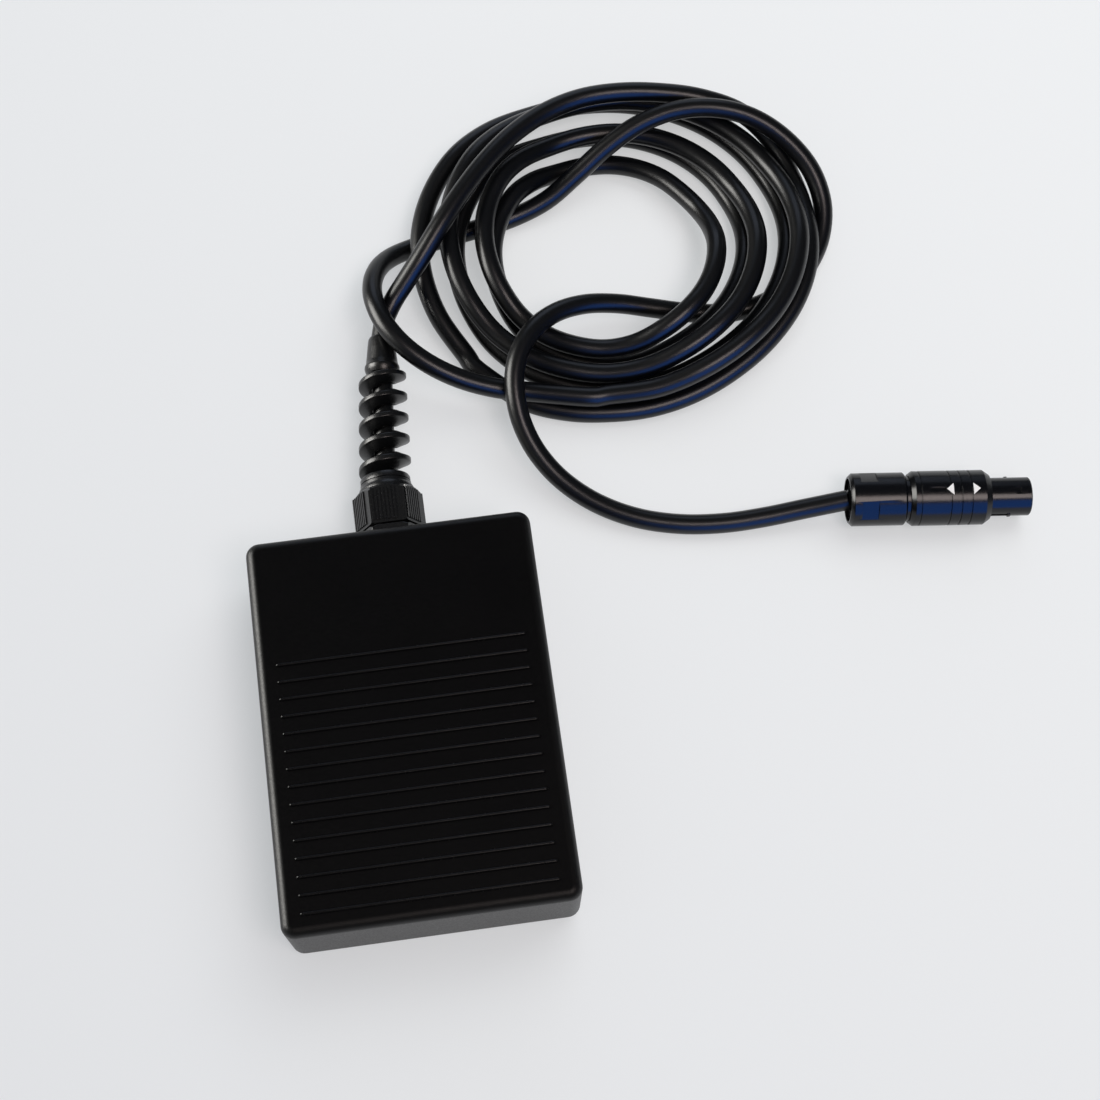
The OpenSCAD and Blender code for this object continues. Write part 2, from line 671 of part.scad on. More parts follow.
module gland_body() {
  stem_y = wall_in - locknut_t - 2;
  color([0.08, 0.08, 0.09])
  difference() {
    union() {
      on_gland(stem_y) cylinder(r = stem_r, h = flange_y - stem_y + 0.1);
      on_gland(flange_y + seat) hex(gland_af, flange_t - seat);
      on_gland(flange_y + flange_t - 0.1) cylinder(r = nut_thread_r, h = 7);
    }
    on_gland(stem_y - eps) cylinder(r = cord_r + 0.3, h = 60);
    on_gland(nut_y) cylinder(r = 4.7, h = 20);
  }
}

module gland_washer() {
  color([0.05, 0.05, 0.05])
  on_gland(rear_y + seat) ring(stem_r + 1.5, stem_r + 0.02, washer_t - seat);
}

module gland_locknut() {
  color([0.1, 0.1, 0.11])
  on_gland(wall_in - locknut_t - seat) difference() {
    hex(locknut_af, locknut_t);
    translate([0, 0, -eps]) cylinder(r = stem_r + 0.02, h = locknut_t + 2 * eps);
  }
}

module gland_seal() {
  color([0.2, 0.2, 0.2])
  on_gland(nut_y + seat) ring(4.66, cord_r + 0.02, 6);
}

module gland_nut() {
  ridge = 0.3;
  color([0.07, 0.07, 0.08])
  difference() {
    union() {
      on_gland(nut_y) hex(gland_af, nut_l, 0.3, 1.5);
      on_gland(dome_y - 0.1)
        turned([[0, 0], [7.3, 0], [7.3, 0.8], [7, 1.5], [6.7, 1.9], [6.7, dome_l - 0.2],
          [6.4, dome_l + 0.1], [0, dome_l + 0.1]]);
      // fine grip ridges on one side of every flat
      for (a = [0:60:300], i = [-4:2])
        on_gland(nut_y + 0.8) rotate(a)
          translate([0.95 * i - 0.25, -gland_af / 2 - ridge, 0]) cube([0.5, ridge + 0.2, nut_l - 1.6]);
    }
    on_gland(nut_y - eps) cylinder(r = nut_thread_r + 0.02, h = 8);
    on_gland(nut_y + 4) cylinder(r = guard_bore, h = 30);
  }
}

// Cross section of the guard's strip, turned about the cord by angle a, u from the guard's foot
function strip_ring(a, u, r_out) =
  let (w = guard_strip / 2, e = guard_edge / 2, root = guard_bore + 1.1)
  [for (p = [[guard_bore, -w], [root, -w + 0.3], [r_out, -e], [r_out, e], [root, w - 0.3], [guard_bore, w]])
    let (x = p[0] * cos(a), y = u + p[1])
    [gland_x + x * cos(guard_lean) + y * sin(guard_lean),
     guard_y - x * sin(guard_lean) + y * cos(guard_lean), gland_z + p[0] * sin(a)]];

module bend_guard() {
  steps = ceil(8 * guard_turns);
  u0 = guard_strip / 2 + seat + guard_room;
  run = collar_y - guard_y + 0.2 - u0;
  taper = 0.6; // how much thinner the guard is at its far end
  start = 200; // direction in which the strip leaves the nut
  rings = [for (i = [0:steps]) let (t = i / steps)
    strip_ring(start - 360 * guard_turns * t, u0 + run * t, guard_r - taper * t)];
  echo(str("bend guard least gap to itself, mm: ", run / guard_turns - guard_strip));
  color([0.07, 0.07, 0.08]) {
    polyhedron([for (r = rings) each r], tube_faces(steps + 1, 6), convexity = 10);
    on_gland(guard_y + seat) ring(6.6, guard_bore, 1.6);
    on_guard(collar_y - guard_y) difference() {
      turned([[0, -1.5], [4, -1.5], [4.7, 0], [4.7, 0.9], [4.4, 1.2], [3.5, collar_l - 0.9],
        [3.1, collar_l - 0.275], [0, collar_l - 0.275]]);
      translate([0, 0, -2]) cylinder(r = cord_r + 0.02, h = collar_l + 3);
    }
  }
}

// ---------- cord ----------

module cord_in_gland() {
  color([0.05, 0.05, 0.06])
  {
    on_gland(clamp_y - cord_inside) cylinder(r = cord_r, h = guard_y - clamp_y + cord_inside);
    on_guard(0) {
      sphere(r = cord_r);
      cylinder(r = cord_r, h = tip_at);
    }
  }
}

// A point of the coil, s turns from its start
function coil_point(s) =
  let (
    r = s < coil_in ? coil_r - (coil_r - coil_eye) * s / coil_in
      : coil_eye + (coil_r - coil_eye) * (s - coil_in) / (coil_turns - coil_in) * coil_grow,
    a = coil_start - 360 * s,
    wander = sin(180 * s / coil_turns),
    climb = smooth((s - coil_in + 0.25) / 0.5)
  )
  [coil_at[0] + coil_drift[0] * wander + r * cos(a),
   coil_at[1] + coil_drift[1] * wander + (r - coil_flat * (r - coil_eye) / (coil_r - coil_eye)) * sin(a),
   cord_r + coil_step * climb + coil_lift * (bump(a, lift_left) + bump(a, lift_right))];
coil_grow = 0.935; // the coil ends a little inside of where it started

coil_rings = 24; // rings in a loop
coil_body = [for (i = [0:floor(coil_turns * coil_rings)]) coil_point(i / coil_rings)];
coil_last = len(coil_body) - 1;
function flat_unit(v) = unit([v[0], v[1], 0]);
coil_into = flat_unit(coil_body[1] - coil_body[0]);
coil_outof = flat_unit(coil_body[coil_last] - coil_body[coil_last - 1]);
coil_path = concat([coil_body[0] - cord_d * coil_into], coil_body,
  [coil_body[coil_last] + cord_d * coil_outof]);

module cord_tail() {
  color([0.05, 0.05, 0.06])
  translate(lay) tube(concat(tail_path, [coil_path[0]]), cord_r, 10,
    [[sin(guard_lean), cos(guard_lean), 0], coil_into]);
}

module cord_coil() {
  fine = [for (i = [0:floor(coil_turns * 48)]) coil_point(i / 48)];
  echo(str("coil least gap to itself, mm: ", self_gap(fine, 24, cord_d)));
  color([0.05, 0.05, 0.06]) translate(lay) tube(coil_path, cord_r, 6, [coil_into, coil_outof]);
}

module cord_lead() {
  color([0.05, 0.05, 0.06])
  translate(lay)
    tube(concat([coil_path[len(coil_path) - 1]], lead_path), cord_r, 10,
      [coil_outof, [cos(plug_turn), sin(plug_turn), 0]]);
}

// ---------- plug ----------

module plug_cord_end() {
  color([0.05, 0.05, 0.06])
  on_plug() cylinder(r = cord_r, h = 12);
}

module plug_back_nut() {
  color([0.06, 0.06, 0.07])
  on_plug() difference() {
    turned([[0, 0], [back_nut_r - 0.9, 0], [back_nut_r, 0.9], [back_nut_r, back_nut_l - 0.5],
      [back_nut_r - 0.5, back_nut_l], [0, back_nut_l]]);
    translate([0, 0, -eps]) cylinder(r = 5.7, h = collet_at - 0.4 + eps);
    translate([0, 0, -eps]) cylinder(r = 4.8, h = 8);
    translate([0, 0, 7]) cylinder(r = core_r + 0.02, h = back_nut_l);
    // spanner flats
    for (a = [46:90:316]) rotate(plug_roll + a)
      translate([back_nut_r - 0.5, -4, 2.9]) cube([2, 8, 4.4]);
  }
}

module plug_collet() {
  color([0.12, 0.12, 0.13])
  on_plug(collet_at) difference() {
    turned([[cord_r + 0.02, 0], [4.4, 0], [4.75, 0.8], [4.75, 5], [cord_r + 0.02, 5]]);
    for (a = [0, 60, 120]) rotate(a) translate([-6, -0.25, -eps]) cube([12, 0.5, 3.5]);
  }
}

module plug_core() {
  rear = 7.4;
  front = sleeve_at + sleeve_l;
  color([0.07, 0.07, 0.09])
  on_plug() difference() {
    union() {
      translate([0, 0, rear]) cylinder(r = core_r, h = front - sleeve_lip - back_gap - rear);
      translate([0, 0, front - 4]) cylinder(r = nose_r, h = nose_l + 4 - 0.3);
      translate([0, 0, front + nose_l - 0.3]) cylinder(r1 = nose_r, r2 = nose_r - 0.3, h = 0.3);
      // latch bumps at the ends of the slits
      for (a = [90, 270]) rotate(plug_roll + a)
        translate([nose_r - 0.7, -0.6, front + 4.7]) cube([1.05, 1.2, 0.8]);
    }
    translate([0, 0, rear - eps]) cylinder(r = plug_bore, h = 60);
    translate([0, 0, front + nose_l - insert_depth]) cylinder(r = mouth_r, h = insert_depth + eps);
    // latch windows and the slits of the nose
    for (a = [0, 180]) rotate(plug_roll + a)
      translate([nose_r - 0.5, -1.05, front + 6.5]) cube([2, 2.1, 1.4]);
    for (a = [90, 270]) rotate(plug_roll + a)
      translate([nose_r - 0.5, -0.6, front - 0.5]) cube([2, 1.2, 5.2]);
  }
}

module plug_sleeve() {
  groove = 0.35;
  color([0.06, 0.06, 0.07])
  on_plug(sleeve_at) difference() {
    turned([[0, 0], [sleeve_r - 0.8, 0], [sleeve_r, 1.1], [sleeve_r, sleeve_l - 1.7],
      [sleeve_r - 1.2, sleeve_l], [0, sleeve_l]]);
    translate([0, 0, -eps]) cylinder(r = core_r + slide_clear, h = sleeve_l - sleeve_lip + eps);
    translate([0, 0, -eps]) cylinder(r = nose_r + slide_clear, h = sleeve_l + 2 * eps);
    // grip grooves round the sleeve
    for (u = [2.2, 10, 12.8, 15.5])
      translate([0, 0, u]) ring(sleeve_r + 1, sleeve_r - groove, 0.5);
    // small slot in the top
    rotate(plug_roll) translate([sleeve_r - 0.6, -0.65, 5.1]) cube([2, 1.3, 4]);
  }
}

// Two arrowheads that show which way the sleeve moves
module plug_marks() {
  size = [1.85, 3.2];
  skin = 0.06;
  color([0.9, 0.9, 0.9])
  on_plug(sleeve_at) intersection() {
    ring(sleeve_r + skin, sleeve_r - 0.25, sleeve_l);
    rotate(plug_roll) union() {
      for (m = [[11, -1], [16.2, 1]])
        translate([sleeve_r - 1, 0, m[0]]) rotate([90, 0, 90]) linear_extrude(2)
          polygon([[-size[1] / 2, 0], [size[1] / 2, 0], [0, m[1] * size[0]]]);
    }
  }
}

module plug_insert() {
  u0 = 20;
  color([0.75, 0.72, 0.65])
  on_plug(u0) difference() {
    cylinder(r = plug_bore - 0.02, h = sleeve_at + sleeve_l + nose_l - insert_depth - u0);
    for (i = [0:contact_count - 1]) rotate(360 * i / contact_count)
      translate([2.5, 0, -eps]) cylinder(r = 0.62, h = 60);
  }
}

module plug_contacts() {
  u0 = 18;
  color([0.85, 0.65, 0.25])
  on_plug(u0)
    for (i = [0:contact_count - 1]) rotate(360 * i / contact_count)
      translate([2.5, 0, 0]) difference() {
        cylinder(r = 0.6, h = sleeve_at + sleeve_l + nose_l - insert_depth - 0.5 - u0);
        translate([0, 0, 12]) cylinder(r = 0.35, h = 40);
      }
}

base_shell();
rubber_feet();
treadle();
hinge_pins();
pin_clips();
spring_left();
spring_right();
travel_stops();
circuit_board();
board_screws();
sensor_body();
sensor_arm();
switch_body();
switch_lever();
switch_plunger();
wire_connector();
inner_wires();
cord_clamp();
clamp_screws();
gland_body();
gland_washer();
gland_locknut();
gland_seal();
gland_nut();
bend_guard();
cord_in_gland();
cord_tail();
cord_coil();
cord_lead();
plug_cord_end();
plug_back_nut();
plug_collet();
plug_core();
plug_sleeve();
plug_marks();
plug_insert();
plug_contacts();
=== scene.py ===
# %% [markdown]
# # Foot pedal of a sewing machine
# The pedal is a ribbed ABS treadle over a flat base. Its cord leaves through a nylon cable gland with a
# spiral bend guard, lies in a loose coil and ends in a push-pull plug. The engineering model is loaded
# first, as a fixed frame: every piece made below takes the place that the frame gives it.

# %% Load the engineering model
import bpy, bmesh, json
from math import sin, cos, pi, radians
from mathutils import Vector, Matrix

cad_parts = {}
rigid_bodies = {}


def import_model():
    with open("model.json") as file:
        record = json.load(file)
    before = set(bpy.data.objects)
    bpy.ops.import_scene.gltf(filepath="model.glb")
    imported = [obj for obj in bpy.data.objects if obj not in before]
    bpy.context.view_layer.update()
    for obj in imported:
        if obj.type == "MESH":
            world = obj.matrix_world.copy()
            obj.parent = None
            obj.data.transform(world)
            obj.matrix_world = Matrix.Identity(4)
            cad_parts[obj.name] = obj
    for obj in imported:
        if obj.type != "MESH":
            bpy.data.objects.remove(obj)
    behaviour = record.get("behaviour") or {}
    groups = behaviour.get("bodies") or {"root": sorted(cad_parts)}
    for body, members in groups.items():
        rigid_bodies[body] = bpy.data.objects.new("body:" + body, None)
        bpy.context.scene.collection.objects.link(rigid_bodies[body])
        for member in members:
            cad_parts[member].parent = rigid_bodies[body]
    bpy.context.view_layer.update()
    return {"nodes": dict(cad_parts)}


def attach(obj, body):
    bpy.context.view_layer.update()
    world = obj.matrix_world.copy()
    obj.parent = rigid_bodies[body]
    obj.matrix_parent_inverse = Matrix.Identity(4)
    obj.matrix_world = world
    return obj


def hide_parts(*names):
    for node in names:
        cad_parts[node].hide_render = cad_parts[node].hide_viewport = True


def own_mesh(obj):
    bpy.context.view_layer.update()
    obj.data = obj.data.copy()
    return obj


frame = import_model()
NODES = frame["nodes"]
MM = 0.001

# %% [markdown]
# ## Camera
# The camera looks down from half a metre, a little from the front. A 65 mm lens on a full frame sensor
# keeps the perspective mild, as for a catalogue picture. Its turn is written as three turns about the
# axes of the room, which is easier to adjust by hand than a matrix.

# %% Camera
lens = bpy.data.cameras.new("camera")
lens.lens, lens.sensor_width, lens.clip_start = 64.8, 36, 0.01
camera = bpy.data.objects.new("camera", lens)
bpy.context.collection.objects.link(camera)
camera.matrix_world = (Matrix.Translation((0.0116, -0.1253, 0.4978)) @ Matrix.Rotation(0.3351, 4, "X")
                       @ Matrix.Rotation(-0.0569, 4, "Y") @ Matrix.Rotation(-0.1269, 4, "Z"))
bpy.context.scene.camera = camera
print("camera height, m:", round(camera.location.z, 3))

# %% [markdown]
# ## Colours and the node helper
# Colours are written as sRGB hex values, as a colour chart gives them. Blender's shaders work in linear
# light, so one function converts them. A second small function adds a node with its settings and its
# inputs: a number sets a socket, another node's output is linked to it.

# %% Colour and node helpers
def srgb(code):
    """A hex colour as the linear red, green, blue and alpha that shaders use."""
    parts = [int(code[i:i + 2], 16) / 255 for i in (1, 3, 5)]
    return [c / 12.92 if c <= 0.04045 else ((c + 0.055) / 1.055) ** 2.4 for c in parts] + [1]


def add(tree, kind, settings=None, **inputs):
    """Adds a node. Settings are its own properties; inputs are named, or _3 for the socket of that number."""
    made = tree.nodes.new(kind)
    for key, value in (settings or {}).items():
        setattr(made, key, value)
    for key, value in inputs.items():
        socket = made.inputs[int(key[1:]) if key[0] == "_" else key.replace("_", " ")]
        if isinstance(value, bpy.types.NodeSocket):
            tree.links.new(value, socket)
        else:
            socket.default_value = value
    return made


def new_material(name):
    """An empty material and its node tree."""
    made = bpy.data.materials.new(name)
    made.use_nodes = True
    made.node_tree.nodes.clear()
    return made, made.node_tree


print("mid grey #808080 in linear light:", round(srgb("#808080")[0], 3))

# %% [markdown]
# ## Moulded plastics and rubber
# Nearly every visible piece is injection moulded and black, so what tells one from the next is the skin
# that the mould left. The treadle's mould was spark eroded, which leaves a fine grain of pits that
# sparkles on rounded edges. Nylon comes out duller, with a softer grain. The plug is polished and
# shows crisp reflections. One recipe covers them: a noise of the grain's real size drives bump and
# roughness, and a broad noise shifts the colour slightly, as flow in the mould does.

# %% Recipe for a moulded skin
def moulded(name, low, high, rough, grain, depth, flow=18, ior=1.5, calm_top=False, shine=0.5, vary=0.06):
    """A moulded skin: two colours that flow into each other, and a grain. Sizes are in mm."""
    material, tree = new_material(name)
    where = add(tree, "ShaderNodeTexCoord")
    place = where.outputs["Object"]
    broad = add(tree, "ShaderNodeTexNoise", Vector=place, Scale=1 / (flow * MM), Detail=2.0)
    colour = add(tree, "ShaderNodeMix", {"data_type": "RGBA"}, _0=broad.outputs["Fac"], _6=srgb(low),
                 _7=srgb(high))
    pits = add(tree, "ShaderNodeTexNoise", Vector=place, Scale=1 / (grain * MM), Detail=3.0, Roughness=0.6)
    gloss = add(tree, "ShaderNodeMapRange", Value=pits.outputs["Fac"], From_Min=0.3, From_Max=0.7,
                To_Min=rough - vary, To_Max=rough + vary)
    strength = 1.0
    if calm_top:  # faces that look up have a shallower grain and, being duller, reflect less
        up = add(tree, "ShaderNodeSeparateXYZ", Vector=where.outputs["Normal"]).outputs["Z"]
        strength, shine = [add(tree, "ShaderNodeMapRange", Value=up, From_Min=0.9, From_Max=1.0, To_Min=side,
                               To_Max=top).outputs["Result"] for side, top in ((1.0, 0.22), (shine, 0.07))]
    bump = add(tree, "ShaderNodeBump", Strength=strength, Distance=depth * MM, Height=pits.outputs["Fac"])
    skin = add(tree, "ShaderNodeBsdfPrincipled", Base_Color=colour.outputs[2], Normal=bump.outputs["Normal"],
               Roughness=gloss.outputs["Result"], IOR=ior, Specular_IOR_Level=shine)
    add(tree, "ShaderNodeOutputMaterial", Surface=skin.outputs["BSDF"])
    return material


# ABS from a spark-eroded mould: near black, satin, and speckled on its rounded edges
abs_spark = moulded("ABS, black, spark-eroded skin", "#030304", "#060607", 0.42, 0.42, 0.05, calm_top=True,
                    shine=0.32)
# Grip ribs are rubbed by shoes, so their skin is smoother than the cover's
abs_worn = moulded("ABS, black, rubbed by shoes", "#060607", "#0B0B0C", 0.26, 0.8, 0.0005, vary=0.02,
                   shine=0.22)
abs_plain = moulded("ABS, black, plain mould skin", "#0C0C0D", "#111113", 0.45, 0.5, 0.012)
nylon = moulded("polyamide, black, moulded", "#050607", "#0A0B0D", 0.32, 0.35, 0.01, flow=6, shine=0.5)
pvc = moulded("PVC cord jacket, black, extruded", "#040506", "#07080A", 0.33, 1.6, 0.0003, flow=30,
              shine=0.38, vary=0.01)
plug_black = moulded("PPSU plug shell, black, polished mould", "#040508", "#07080C", 0.24, 0.5, 0.002, ior=1.38,
                     vary=0.02)
rubber = moulded("EPDM rubber, black, matt", "#101010", "#181817", 0.75, 0.4, 0.02, ior=1.47)
peek = moulded("PPSU insert, beige, moulded", "#B8AF97", "#C6BEA8", 0.4, 0.3, 0.006)
pbt_blue = moulded("PBT sensor case, slate blue", "#2A3550", "#303C5A", 0.4, 0.3, 0.01)
pbt_cream = moulded("nylon connector, cream", "#DAD7C8", "#E4E1D4", 0.45, 0.3, 0.01)
pom_white = moulded("acetal arm, natural white", "#D5D4C9", "#E0DFD6", 0.35, 0.4, 0.006)
pom_red = moulded("acetal plunger, red", "#A8281A", "#B23020", 0.35, 0.3, 0.006)
print("moulded materials:", len(bpy.data.materials))

# %% [markdown]
# ## Metals, circuit board and print
# Metals need another recipe: metallic is 1 and the look lies in the roughness. Zinc plating is satin
# with a faint cloudiness, spring wire is darker, and gold flash on contacts is smooth. The board's
# solder mask is a green lacquer, and the arrowheads on the plug are pad printed in a slightly uneven
# white ink. Both take the recipe for moulded skins.

# %% Metals, board and ink
def metal(name, low, high, rough, cloud):
    """A plated or drawn metal, cloudy at that size in mm."""
    material, tree = new_material(name)
    place = add(tree, "ShaderNodeTexCoord").outputs["Object"]
    haze = add(tree, "ShaderNodeTexNoise", Vector=place, Scale=1 / (cloud * MM), Detail=4.0)
    colour = add(tree, "ShaderNodeMix", {"data_type": "RGBA"}, _0=haze.outputs["Fac"], _6=srgb(low),
                 _7=srgb(high))
    gloss = add(tree, "ShaderNodeMapRange", Value=haze.outputs["Fac"], To_Min=rough - 0.08,
                To_Max=rough + 0.08)
    skin = add(tree, "ShaderNodeBsdfPrincipled", Base_Color=colour.outputs[2], Metallic=1.0,
               Roughness=gloss.outputs["Result"])
    add(tree, "ShaderNodeOutputMaterial", Surface=skin.outputs["BSDF"])
    return material


zinc = metal("steel, zinc plated", "#B9BCC0", "#CDD0D3", 0.34, 1.2)
spring_steel = metal("spring steel wire, drawn", "#8C8E92", "#A0A2A6", 0.28, 0.8)
gold = metal("brass, gold flashed", "#D9B25A", "#E6C476", 0.22, 0.6)
solder_mask = moulded("solder mask, green lacquer on FR4", "#0E4A2A", "#135A34", 0.3, 0.8, 0.01, flow=5)
pad_ink = moulded("pad-printed ink, white", "#DCDDDD", "#F0F0F0", 0.5, 0.25, 0.006, flow=1.5)
wire_skins = [moulded("PVC wire skin, " + word, low, high, 0.4, 0.3, 0.004) for word, low, high in (
    ("red", "#A81E18", "#B8281E"), ("blue", "#1C3A9C", "#2446A8"), ("yellow", "#C8A81C", "#D4B428"),
    ("white", "#DADAD6", "#E6E6E2"))]
print("materials in all:", len(bpy.data.materials))

# %% [markdown]
# ## Making a mesh into a piece
# Every piece ends the same way: flat faces are shaded smooth except over sharp edges, a small bevel
# catches the light where a mould has its radius, and weighted normals keep the large faces flat. The
# modifiers are then baked into a plain mesh, the piece is hung on the body it rides on, and the nodes of
# the frame that it stands for are hidden.

# %% Finish a piece
def baked(thing):
    """Replaces an object's mesh and modifiers by the plain mesh that they give."""
    shape = bpy.data.meshes.new_from_object(thing.evaluated_get(bpy.context.evaluated_depsgraph_get()))
    thing.modifiers.clear()
    thing.data = shape
    return thing


def piece(name, shape, materials, body, stands_for=(), bevel=0.0, sharp=35):
    """Links a bmesh as a finished piece; bevel is in mm."""
    data = bpy.data.meshes.new(name)
    shape.to_mesh(data)
    shape.free()
    for material in materials:
        data.materials.append(material)
    data.polygons.foreach_set("use_smooth", [True] * len(data.polygons))
    data.set_sharp_from_angle(angle=radians(sharp))
    made = bpy.data.objects.new(name, data)
    bpy.context.collection.objects.link(made)
    if bevel:
        round_off = made.modifiers.new("bevel", "BEVEL")
        round_off.width, round_off.segments, round_off.angle_limit = bevel * MM, 2, radians(32)
        round_off.harden_normals = False
        weigh = made.modifiers.new("normals", "WEIGHTED_NORMAL")
        weigh.keep_sharp = True
        baked(made)
        made.data.name = name
    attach(made, body)
    if stands_for:
        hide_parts(*stands_for)
    return made


WELD, FLAT = 2e-6, radians(0.4)  # points closer than this join, and so do faces that meet flatter than this


def welded(*names):
    """A copy of nodes of the frame, their loose triangles welded and flat neighbours joined."""
    shape = bmesh.new()
    for name in names:
        shape.from_mesh(NODES[name].data)
    bmesh.ops.remove_doubles(shape, verts=shape.verts, dist=WELD)
    bmesh.ops.dissolve_limit(shape, angle_limit=FLAT, verts=shape.verts, edges=shape.edges)
    return shape


print("ready to make pieces")

# %% [markdown]
# ## The cord's route
# A cord can't be pushed into any shape: it leaves the bend guard straight, sags, rests on the table and
# on itself, and its length is fixed. The route is drawn through chosen points, the coil through a
# spiral that winds in on the table and out again on top. A Catmull-Rom curve passes through each point,
# so the cord lies where the frame's plain tube lies, without its corners.

# %% Points that the cord follows
TAIL = [
    (4.1, 110.4, 11.5), (5.6, 115.5, 11.9), (8.6, 120.3, 13.2), (12.9, 124.9, 15.6), (18.2, 130.6, 18.7),
    (24.2, 137.8, 21.3), (30.9, 146.2, 22.1), (38.4, 154.8, 21.8), (46.9, 162.8, 20.8), (56.7, 169.2, 19.6),
    (67.2, 173.1, 18.5), (78.3, 174.2, 17.6), (89.7, 173.3, 16.6), (101.4, 170.9, 15.1),
    (112.5, 166.3, 12.4), (120.3, 158.3, 8.5), (124.2, 147.9, 6.2), (125.6, 137.1, 7), (125.2, 126.4, 8.6),
    (122.4, 116, 8.7), (116.6, 106.2, 7.6), (107.8, 97.5, 6.1), (97.1, 90.8, 4.7), (85.7, 86.3, 3.5),
    (74, 84.2, 2.8), (62.4, 84.4, 2.7), (51.3, 86.3, 2.7), (40.4, 91, 2.7)]
LEAD = [
    (40.4, 91, 8.8), (31.9, 92.7, 10.2), (23.5, 95.4, 12.6), (15.9, 99.5, 15.2), (9.7, 105, 17.3),
    (5.5, 111.6, 18.2), (3.5, 118.7, 17.5), (3.6, 125.5, 14.7), (5.5, 131.7, 10.8), (8.9, 136.6, 6.8),
    (14.3, 140.2, 3.8), (22.5, 142.6, 2.7), (32.9, 144.5, 2.7), (44.2, 146.8, 2.8), (54.7, 150.1, 4.7),
    (63.8, 155, 8.4), (72.8, 160.2, 12.3), (82.5, 164.3, 15.7), (93, 166.2, 17.8), (103.7, 165.3, 18.4),
    (114, 161.8, 17.1), (122.7, 155.6, 14.1), (129, 147.3, 10.4), (131.4, 138.2, 6.4), (129.7, 129.4, 3.6),
    (124.9, 121.5, 2.7), (118.1, 115.2, 2.7), (109.6, 111.1, 2.7), (99.8, 109.7, 2.8), (89.4, 110.5, 4),
    (79.1, 112.2, 6.2), (69.3, 113.5, 9), (60.1, 113.1, 11.9), (51.8, 110.4, 14.5), (45.1, 105.6, 16.2),
    (40.6, 99.6, 16.7), (38.2, 93.2, 15.9), (37.7, 86.5, 13.9), (38.8, 79.7, 11), (41.9, 72.5, 8.1),
    (47.4, 65.2, 5.6), (55.5, 58.4, 3.9), (65.6, 53.1, 3), (76.8, 49.9, 2.7), (88.2, 48.5, 3),
    (99.1, 48.4, 3.8), (109.9, 48.8, 5.2), (121.5, 49, 7.3)]
CORD_R = 2.7
LAY = Vector((-0.025, -0.133, 0))  # the whole cord lies this far off, so that it meets the guard's tip
MIDDLE_X, MIDDLE_Y, DRIFT_X, DRIFT_Y = 72, 134.5, 2.4, 3.6  # the coil's middle, and how far its eye lies off it
EYE_R, BAND, OVAL = 28, 27.5, 5.5  # the eye's radius, how much wider the outer loop is, and how much flatter
TURNS_IN, TURNS_OUT = 2.5, 2.4  # turns that wind in on the table, and turns that wind out above them
LAST_SHARE, FIRST_ANGLE = 0.935, 215  # the last loop is a little narrower than the first; where that one starts
CLIMB_FROM, CLIMB_OVER, CLIMB = 2.25, 0.5, 6.4  # the turn at which the cord climbs, for how long and how far
HUMPS, HUMP = ((163, 20, 62), (-38, 16, 62)), 6.3  # crossings: angle, flat half, whole half; and their height


def eased(t):
    """Zero up to 0, one from 1 on, and a soft step between."""
    t = min(max(t, 0), 1)
    return t * t * (3 - 2 * t)


def coil_point(s):
    """A point of the coil in mm, s turns from its start."""
    share = 1 - s / TURNS_IN if s < TURNS_IN else (s - TURNS_IN) / TURNS_OUT * LAST_SHARE
    across = EYE_R + BAND * share
    along = across - OVAL * share
    a, wander = FIRST_ANGLE - 360 * s, sin(pi * s / (TURNS_IN + TURNS_OUT))
    lift = sum(eased((whole - abs((a - at + 180) % 360 - 180)) / (whole - flat)) for at, flat, whole in HUMPS)
    return Vector((MIDDLE_X - DRIFT_X * wander + across * cos(radians(a)),
                   MIDDLE_Y - DRIFT_Y * wander + along * sin(radians(a)),
                   CORD_R + CLIMB * eased((s - CLIMB_FROM) / CLIMB_OVER) + HUMP * lift))


def level(step):
    """A level stride of one cord's thickness in the direction of step."""
    return Vector((step.x, step.y, 0)).normalized() * 2 * CORD_R


COIL = [coil_point(i / 24) for i in range(118)]
COIL = [COIL[0] - level(COIL[1] - COIL[0])] + COIL + [COIL[-1] + level(COIL[-1] - COIL[-2])]
print("points: tail", len(TAIL), "coil", len(COIL), "lead", len(LEAD))

# %% [markdown]
# ## The cord
# The jacket is an extruded PVC tube, so its section never changes. A ring of points is carried along
# the route, turned only as much as the route turns, which keeps the tube free of twists. The same
# function makes the cord's two hidden ends and the thin wires inside the pedal.

# %% Tube along a route
def smooth_line(points, step=1.8):
    """Points about step mm apart on a Catmull-Rom curve through the given ones."""
    pts = [Vector(p) for p in points]
    pts = [2 * pts[0] - pts[1]] + pts + [2 * pts[-1] - pts[-2]]
    line = []
    for a, b, c, d in zip(pts, pts[1:], pts[2:], pts[3:]):
        count = max(2, round((c - b).length / step))
        for i in range(count):
            t = i / count
            line.append(0.5 * ((2 * b) + (c - a) * t + (2 * a - 5 * b + 4 * c - d) * t * t
                               + (3 * b - a - 3 * c + d) * t ** 3))
    return line + [pts[-2]]


